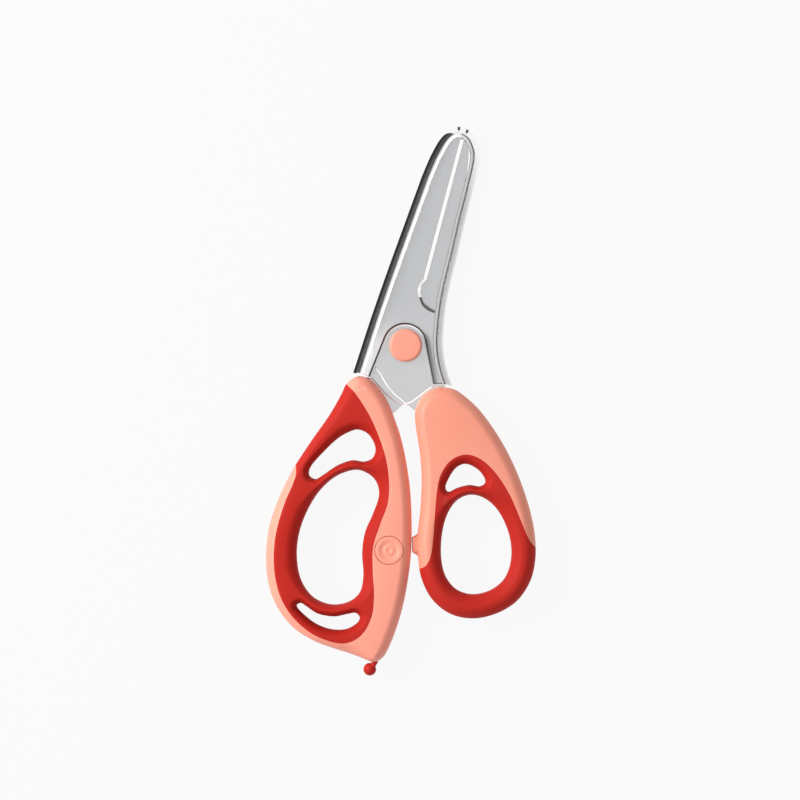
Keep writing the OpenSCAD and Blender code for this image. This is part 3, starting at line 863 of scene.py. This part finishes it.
dial_top = HANDLE_HIGH
dial_profile = [
    (dial_top - 1.2, 0), (dial_top - 0.2, 0), (dial_top - 0.06, 0.06), (dial_top, 0.2), (dial_top, 0.85),
    (dial_top - 0.05, 1.0), (dial_top - 0.28, 1.45), (dial_top - 0.32, 1.7), (dial_top - 0.3, 2.1),
    (dial_top - 0.14, 2.45), (dial_top - 0.1, 2.6), (dial_top - 0.16, 2.8), (dial_top - 0.3, 3.0),
    (dial_top - 0.3, 3.3)
]
dial = loft("lever_cap_moulding", [circle(LEVER_PIVOT, CAP_SEAT_R - 0.05)], dial_profile)
smooth_faces(dial, 60)
fit(dial, "left_half", "salmon_handle", [salmon_dial], "lever_cap")

# %% [markdown]
# ## The assist lever
# A slim arm turns on a hub inside the handle and ends in a ball that a fingertip can pull out. The
# arm is a rounded slab, and the ball and its waisted neck are joined to it by booleans.

# %% Arm, neck and ball
HUB_R = 3.1


def on_lever(along, across):
    return LEVER_PIVOT + along * lever_way + across * lever_side


hub_angles = np.radians(np.arange(30, 331, 15))
hub_arc = [on_lever(HUB_R * math.cos(a), HUB_R * math.sin(a)) for a in hub_angles]
neck_start = lever_length - BALL_R
left_shoulder = [(-6, 1.2), (-3.2, 1.0), (-1.3, 0.3), (-0.4, -0.2), (0.9, -0.1)]
right_shoulder = [(-4.5, 1.2), (-1.6, 1.45), (-0.5, 1.75), (0.35, 1.4), (0.9, 1.25)]
arm_outline = (
    [on_lever(neck_start + along, -across) for along, across in left_shoulder]
    + [on_lever(neck_start + along, across) for along, across in reversed(right_shoulder)]
    + hub_arc
)
arm_loop = [wound(np.array(arm_outline), True)]
arm = loft("assist_lever_arm", arm_loop, rounded_levels(MID - LEVER_T / 2, MID + LEVER_T / 2, 0.45, 4),
           [np.full(len(arm_outline), 0.4)])
bpy.ops.object.select_all(action="DESELECT")
bpy.ops.mesh.primitive_uv_sphere_add(
    segments=48, ring_count=24, radius=BALL_R * MM, location=(*(BALL_CENTRE * MM), MID * MM)
)
ball = bpy.context.object
bpy.ops.object.transform_apply(location=True, rotation=False, scale=False)
apply_boolean(arm, ball, "UNION")
bore = loft("bore", [circle(LEVER_PIVOT, 1.3, 48)], [(0, 0), (9, 0)])
apply_boolean(arm, bore, "DIFFERENCE")
smooth_faces(arm, 45)
fit(arm, "lever", "red_lever", [red_acetal], "assist_lever")

# %% [markdown]
# ## Ground blades
# The CAD blades already have the right outline, bevel and coined steps. A real blade's edges are
# eased, so they catch the light. Each one is copied, its triangles are merged into flat faces, and a
# bevel modifier eases every sharp edge.

# %% Eased copies of CAD nodes


def eased_copy(node, name, width, materials, reshape=None, segments=2):
    source = frame["nodes"][node]
    piece = source.copy()
    piece.data = source.data.copy()
    piece.name = piece.data.name = name
    for key in list(piece.keys()):
        del piece[key]
    piece.parent = None
    piece.data.materials.clear()
    add_materials(piece, materials)
    bpy.context.collection.objects.link(piece)
    only(piece)
    bpy.ops.object.mode_set(mode="EDIT")
    bpy.ops.mesh.select_all(action="SELECT")
    bpy.ops.mesh.remove_doubles(threshold=0.000002)
    bpy.ops.object.mode_set(mode="OBJECT")
    if reshape:
        reshape(piece)
    only(piece)
    bpy.ops.object.mode_set(mode="EDIT")
    bpy.ops.mesh.select_all(action="SELECT")
    bpy.ops.mesh.dissolve_limited(angle_limit=math.radians(2))
    bpy.ops.object.mode_set(mode="OBJECT")
    easing = piece.modifiers.new("easing", "BEVEL")
    easing.width = width * MM
    easing.segments = segments
    easing.limit_method = "ANGLE"
    easing.angle_limit = math.radians(25)
    easing.use_clamp_overlap = False
    only(piece)
    bpy.ops.object.modifier_apply(modifier=easing.name)
    smooth_faces(piece, 12)
    return piece


# %% [markdown]
# The front blade has one more grind: a shallow hollow round the heel of its cutting edge. Its upper
# stretch gets the bevel's glowing steel, a painted highlight, and its lower stretch near-black steel, a
# painted shadow.

# %% Heel relief of the front blade
PLAIN, BRIGHT, STEP, SHADED = range(4)
FRONT_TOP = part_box("front_blade")[1].z / MM
HEEL_UPPER = [(5.5, 17.2), (4.7, 15.9), (3.9, 14.7), (3.7, 13.2), (3.9, 12.2)]
HEEL_LOWER = [(3.9, 12.2), (4.5, 10.9), (5.4, 9.9), (6.5, 9.2), (7.5, 8.7)]
CAD_EDGE = [
    (14.1, 51.9), (5.0, 16.7), (4.2, 15.7), (3.4, 14.6), (3.2, 13.2), (3.4, 12.2), (4.2, 10.9), (5.2, 9.9)
]
TANG_BOW = [
    (-7.3, -5.4), (-6.9, -6.15), (-6.34, -7.2), (-5.3, -9.2), (-3.9, -11.2), (-2.4, -12.7), (-0.9, -13.9),
    (0.5, -13.5), (-4.5, -5.4)
]


def band_along(run, widths):
    """An outline that follows a run and is as wide as told on its left and a little over it on the right."""
    line = smooth_run(run, 4)
    along = np.gradient(line, axis=0)
    side = np.stack([along[:, 1], -along[:, 0]], 1) / np.linalg.norm(along, axis=1)[:, None]
    wide = np.interp(np.linspace(0, 1, len(line)), np.linspace(0, 1, len(widths)), widths)[:, None]
    return np.concatenate([line + side * wide, (line - side * 0.4)[::-1]])


def cut_heel(piece):
    upper = (HEEL_UPPER, (0.3, 0.7, 0.75, 0.55), BRIGHT)
    lower = (HEEL_LOWER, (0.55, 0.8, 0.85, 0.7), SHADED)
    for run, widths, slot in (upper, lower):
        cutter = prism("heel", band_along(run, widths), FRONT_TOP - 0.3, FRONT_TOP + 1)
        add_materials(cutter, front_slots)
        for face in cutter.data.polygons:
            face.material_index = slot
        apply_boolean(piece, cutter, "DIFFERENCE")


def on_left(x, y):
    """Whether a place in millimetres lies left of the blades' leaning middle line."""
    return x < 0.28 * y - 0.7


def fine_tune(piece):
    """Trims the cutting edge to its ground line, widens the spine and bows the tang's free edge."""
    line = smooth_run(CAD_EDGE[1:], 4)
    line = np.concatenate([np.linspace(CAD_EDGE[0], CAD_EDGE[1], 60), line]) * MM
    for vert in piece.data.vertices:
        near = np.linalg.norm(line - np.array(vert.co.xy), axis=1).min()
        x, y = vert.co.x / MM, vert.co.y / MM
        if near < 0.0011:
            vert.co.x += MM * np.interp(y, (8.7, 12, 16, 52), (0, 0.35, 0.38, 0.72))
        elif on_left(x, y) and math.hypot(x, y) > 6:
            vert.co.x -= MM * np.interp(y, (-9, -6, 44, 52), (0, 0.42, 0.42, 0))
    low, high = (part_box("front_blade")[k].z / MM for k in (0, 1))
    apply_boolean(piece, prism("tang_bow", TANG_BOW, low, high), "UNION")


EDGE_TOP, EDGE_FOOT = Vector((14.8, 51.9)) * MM, Vector((5.4, 16.7)) * MM
EDGE_SIDE = Vector((EDGE_TOP.y - EDGE_FOOT.y, EDGE_FOOT.x - EDGE_TOP.x)).normalized()


def paint_edge_light_and_shade(piece, bright_tang):
    """Puts glowing near-white steel, a painted highlight, on the ground bevel and, when asked, on the tang's
    steps left of 6.2 mm, and darker grey steel, a painted shade, on the other sloped faces of the tang's
    steps.
    """
    for face in piece.data.polygons:
        leans = 0.2 < face.normal.z < 0.93
        beside = abs((face.center.xy - EDGE_FOOT) @ EDGE_SIDE)
        on_bevel = face.normal.xy @ EDGE_SIDE > 0.3 and beside < 0.001 and face.center.y > 0.016
        on_tang = -0.0146 < face.center.y < -0.0045 and face.center.x < 0.016
        bright = on_bevel or (on_tang and bright_tang and face.center.x < 0.0062)
        face.material_index = BRIGHT if leans and bright else STEP if leans and on_tang else PLAIN


front_slots = [steel_front, steel_painted_glow, steel_step_painted_shade, steel_painted_shadow]
front_blade = eased_copy("front_blade", "front_blade_ground", 0.16, front_slots, fine_tune)
paint_edge_light_and_shade(front_blade, True)
cut_heel(front_blade)
smooth_faces(front_blade, 12)
fit(front_blade, "right_half", "blade_steel", front_slots, "front_blade")

rear_slots = [steel_rear, steel_painted_glow, steel_step_painted_shade]
rear_blade = eased_copy("rear_blade", "rear_blade_ground", 0.16, rear_slots)
paint_edge_light_and_shade(rear_blade, False)
fit(rear_blade, "left_half", "blade_steel", rear_slots, "rear_blade")

# %% [markdown]
# ## Pieces inside the pivot and the lever's hub
# The rivet, its washers and the lever's pin only show when the scissors come apart. Their CAD shapes
# are right, so they stay and get their finishes.

# %% Finishes for the inner pieces


def finish_node(node, material):
    only(frame["nodes"][node])
    frame["nodes"][node].data.materials.clear()
    frame["nodes"][node].data.materials.append(material)


for node in ("pivot_rivet", "rivet_washer", "lever_pin"):
    finish_node(node, steel_turned)
finish_node("bearing_washer", nylon)

# %% [markdown]
# ## The clear sheath
# The sheath is one clear moulding: a flat box with rounded sides, open at its foot. A stepped rim
# runs round both broad faces, an arch clears the pivot caps, and a notch at the tip lets water out.

# %% Sheath sizes and outline, in millimetres
SHEATH_LOW, SHEATH_HIGH = (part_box("blade_sheath")[k].z / MM for k in (0, 1))
SHEATH_MID = (SHEATH_LOW + SHEATH_HIGH) / 2
SHEATH_HALF = (SHEATH_HIGH - SHEATH_LOW) / 2
SHEATH_WALL = 0.9
SHEATH_FOOT_RUN = [(-15.7, -14), (-13.15, -6.8), (-8.95, 6.1), (-4.45, 19), (0.75, 33.3), (4.1, 42.5)]
SHEATH_TOP_RUN = [
    (6.15, 47.3), (8.5, 51.5), (10.7, 53.9), (13.4, 54.8), (16.5, 53.4), (18.3, 50.4), (18.8, 46.6),
    (17.1, 38.9), (15, 30.7), (13.1, 22.4), (11.3, 15), (10.25, 9.5), (9.65, 4), (9.5, 0),
    (10, -4), (10.8, -7.2), (11.8, -10), (13.3, -14)
]
SHEATH_END_RUN = [
    (13.3, -14), (13.7, -16.8), (12, -20.8), (7, -23.2), (-1.5, -24), (-10, -23.2), (-15.3, -20.8),
    (-16.5, -17), (-15.7, -14)
]
ARCH_CENTRE = (-0.2, 0.0)
ARCH_R = 4.9
SHOULDER_W = 1.5
SHOULDER_FOOT = 1.2
SHOULDER_ANGLE = math.radians(70)


def rim_profile():
    """Levels of the sheath's front half, from its middle up, and the slot of each band."""
    rise = (SHEATH_HALF - 0.25 - SHOULDER_FOOT) / math.sin(SHOULDER_ANGLE)
    levels, bands = [], []
    for k in range(8):
        a = k / 7 * SHOULDER_ANGLE
        inset = SHOULDER_W * (1 - math.cos(a)) / (1 - math.cos(SHOULDER_ANGLE))
        levels.append((SHOULDER_FOOT + rise * math.sin(a), inset))
        bands.append(WALL)
    # The steps of the rim carry painted dark lines and a painted highlight band, standing in for refraction
    # and reflection in the clear plastic.
    steps = [(-0.42, 1.56, DARK), (-0.45, 1.82, DARK), (-0.36, 1.88, DARK), (-0.06, 2.35, RING),
             (0, 2.48, RING), (0, 2.6, DARK)]
    for drop, inset, slot in steps:
        levels.append((SHEATH_HALF + drop, inset))
        bands.append(slot)
    return levels, bands


front_levels, front_bands = rim_profile()
levels = [(SHEATH_MID - h, inset) for h, inset in reversed(front_levels)]
levels += [(SHEATH_MID + h, inset) for h, inset in front_levels]
bands = list(reversed(front_bands[1:])) + [WALL] + front_bands[1:]
# The end run only closes the loop below the foot. Its wide turn keeps the inner rings from crossing.
end_run = smooth_run(SHEATH_END_RUN, 5)[1:-1]
sheath_runs = [smooth_run(SHEATH_FOOT_RUN, 4), smooth_run(SHEATH_TOP_RUN), end_run]
sheath_loop = wound(np.concatenate(sheath_runs), True)
sheath = loft("clear_sheath_moulding", [sheath_loop], levels, bands=bands, cap_slot=PANEL)
add_materials(sheath, SHEATH_SLOTS)
hollow_half = SHEATH_HALF - SHEATH_WALL
hollow_loop = sheath_loop + SHEATH_WALL * into_material(sheath_loop)
hollow_levels = [(SHEATH_MID - hollow_half, 0), (SHEATH_MID + hollow_half, 0)]
hollow = loft("hollow", [hollow_loop], hollow_levels, bands=[INSIDE], cap_slot=INSIDE)
add_materials(hollow, SHEATH_SLOTS)
apply_boolean(sheath, hollow, "DIFFERENCE")

# %% Arch round the pivot caps
arc = np.radians(np.arange(158, 21, -8))
arch_outline = (
    [(-20, -4.6), (-12.9, -6.9), (-8.8, -8.2)]
    + [(ARCH_CENTRE[0] + ARCH_R * math.cos(a), ARCH_CENTRE[1] + ARCH_R * math.sin(a)) for a in arc]
    + [(6.6, -9.95), (11.8, -10), (20, -10.1), (20, -30), (-20, -30)]
)
arch_loop = wound(np.array(arch_outline, float), True)
lip_h = SHEATH_HALF - 0.5
arch_half_levels = [
    (lip_h, 0), (lip_h + 0.02, -0.35), (SHEATH_HALF - 0.25, -0.4), (SHEATH_HALF + 0.02, -0.8),
    (SHEATH_HALF + 1, -0.8)
]
arch_levels = [(SHEATH_MID - h, i) for h, i in reversed(arch_half_levels)]
arch_levels += [(SHEATH_MID + h, i) for h, i in arch_half_levels]
# The arch's cut edges are painted near black, a painted dark refraction, with painted highlight bands where
# the lip steps.
arch_bands = [BLACK, BLACK, BLACK, RING, INSIDE, RING, BLACK, BLACK, BLACK]
arch = loft("arch", [arch_loop], arch_levels, bands=arch_bands, cap_slot=BLACK)
add_materials(arch, SHEATH_SLOTS)
apply_boolean(sheath, arch, "DIFFERENCE")
# Painted lines placed face by face: the foot's cut edge gets a grey painted shade on the right and a painted
# highlight on the left, the left rim's flat dark lines turn into painted highlight, and the highlight beside
# the arch is cleared.
for face in sheath.data.polygons:
    if face.material_index == BLACK and abs(face.normal.y) > 0.5 and face.center.y < -0.006:
        face.material_index = FOOT if face.center.x > 0 else RING
    left_side = on_left(face.center.x / MM, face.center.y / MM)
    if face.material_index == DARK and abs(face.normal.z) > 0.99 and left_side:
        face.material_index = RING
    beside_arch = 0.003 < face.center.x < 0.0058 - 0.17 * face.center.y and face.center.y < 0.001
    if face.material_index == RING and beside_arch and face.center.y > -0.0095:
        face.material_index = INSIDE

# %% Notch at the tip
NOTCH_CENTRES = [(13.35, 54.2), (15.4, 53.6)]
NOTCH_LEANS = [math.radians(2), math.radians(22)]


def notch(centre, lean):
    """A wedge that is wide at the rim and narrow inside."""
    wedge = np.array([(-0.45, 1.2), (-0.2, -0.85), (0.2, -0.85), (0.45, 1.2)])
    c, s = math.cos(-lean), math.sin(-lean)
    turned = wedge @ np.array([[c, s], [-s, c]])
    outline = wound(turned + np.array(centre), True)
    notch_levels = [(SHEATH_MID + 0.4, 0), (SHEATH_HIGH + 1, 0)]
    # The notch's walls take the near-black painted dark of the cut edges.
    cutter = loft("notch", [outline], notch_levels, bands=[BLACK], cap_slot=BLACK)
    add_materials(cutter, SHEATH_SLOTS)
    apply_boolean(sheath, cutter, "DIFFERENCE")


for centre, lean in zip(NOTCH_CENTRES, NOTCH_LEANS):
    notch(centre, lean)
smooth_faces(sheath, 28)
fit(sheath, "sheath", "clear_sheath", SHEATH_SLOTS, "blade_sheath")

# %% [markdown]
# ## Camera, light and floor
# The scissors lie flat and are seen from straight above through a long lens. A broad lamp on the
# left models the rounded edges, and a pale sky fills the shadows.

# %% Camera
VIEW_W = 200.0
VIEW_CENTRE = (-1.415, -13.675)
LENS = 250.0
camera_data = bpy.data.cameras.new("camera")
camera_data.lens = LENS
camera_data.sensor_width = 36.0
distance = VIEW_W * LENS / camera_data.sensor_width
camera = bpy.data.objects.new("camera", camera_data)
bpy.context.collection.objects.link(camera)
camera.location = Vector((VIEW_CENTRE[0], VIEW_CENTRE[1], distance + HANDLE_HIGH)) * MM
camera_data.clip_start, camera_data.clip_end = 0.01, 20
bpy.context.scene.camera = camera

# %% Floor and light
bpy.ops.object.select_all(action="DESELECT")
bpy.ops.mesh.primitive_plane_add(size=6, location=(0, 0, -0.0004))
floor = bpy.context.object
floor.name = "floor"
floor_paint, floor_tree, floor_shader = start_material("pale_floor")
floor_shader.inputs["Base Color"].default_value = (0.03, 0.03, 0.03, 1)
floor_shader.inputs["Roughness"].default_value = 1.0
floor_shader.inputs["Specular IOR Level"].default_value = 0.0
floor_shader.inputs["Emission Color"].default_value = (1, 1, 1, 1)
floor_shader.inputs["Emission Strength"].default_value = 0.925
floor.data.materials.append(floor_paint)

world = bpy.data.worlds.new("studio")
bpy.context.scene.world = world
world.use_nodes = True
sky = world.node_tree.nodes["Background"]
sky.inputs["Color"].default_value = (0.995, 1.0, 1.01, 1)
upward = axis(world.node_tree, world.node_tree.nodes.new("ShaderNodeTexCoord").outputs["Generated"], "Z")
world.node_tree.links.new(shares(world.node_tree, upward, 0.0, 1.0, 0.29, 0.64), sky.inputs["Strength"])


def area_lamp(name, place, size, power):
    lamp = bpy.data.lights.new(name, "AREA")
    lamp.shape = "SQUARE"
    lamp.size = size
    lamp.energy = power
    holder = bpy.data.objects.new(name, lamp)
    bpy.context.collection.objects.link(holder)
    holder.location = place
    holder.rotation_mode = "QUATERNION"
    holder.rotation_quaternion = Vector(place).to_track_quat("Z", "Y")


area_lamp("key_left", (-0.53, 0.15, 0.43), 0.35, 5.3)
bpy.context.scene.view_settings.view_transform = "Standard"
bpy.context.scene.view_settings.look = "None"
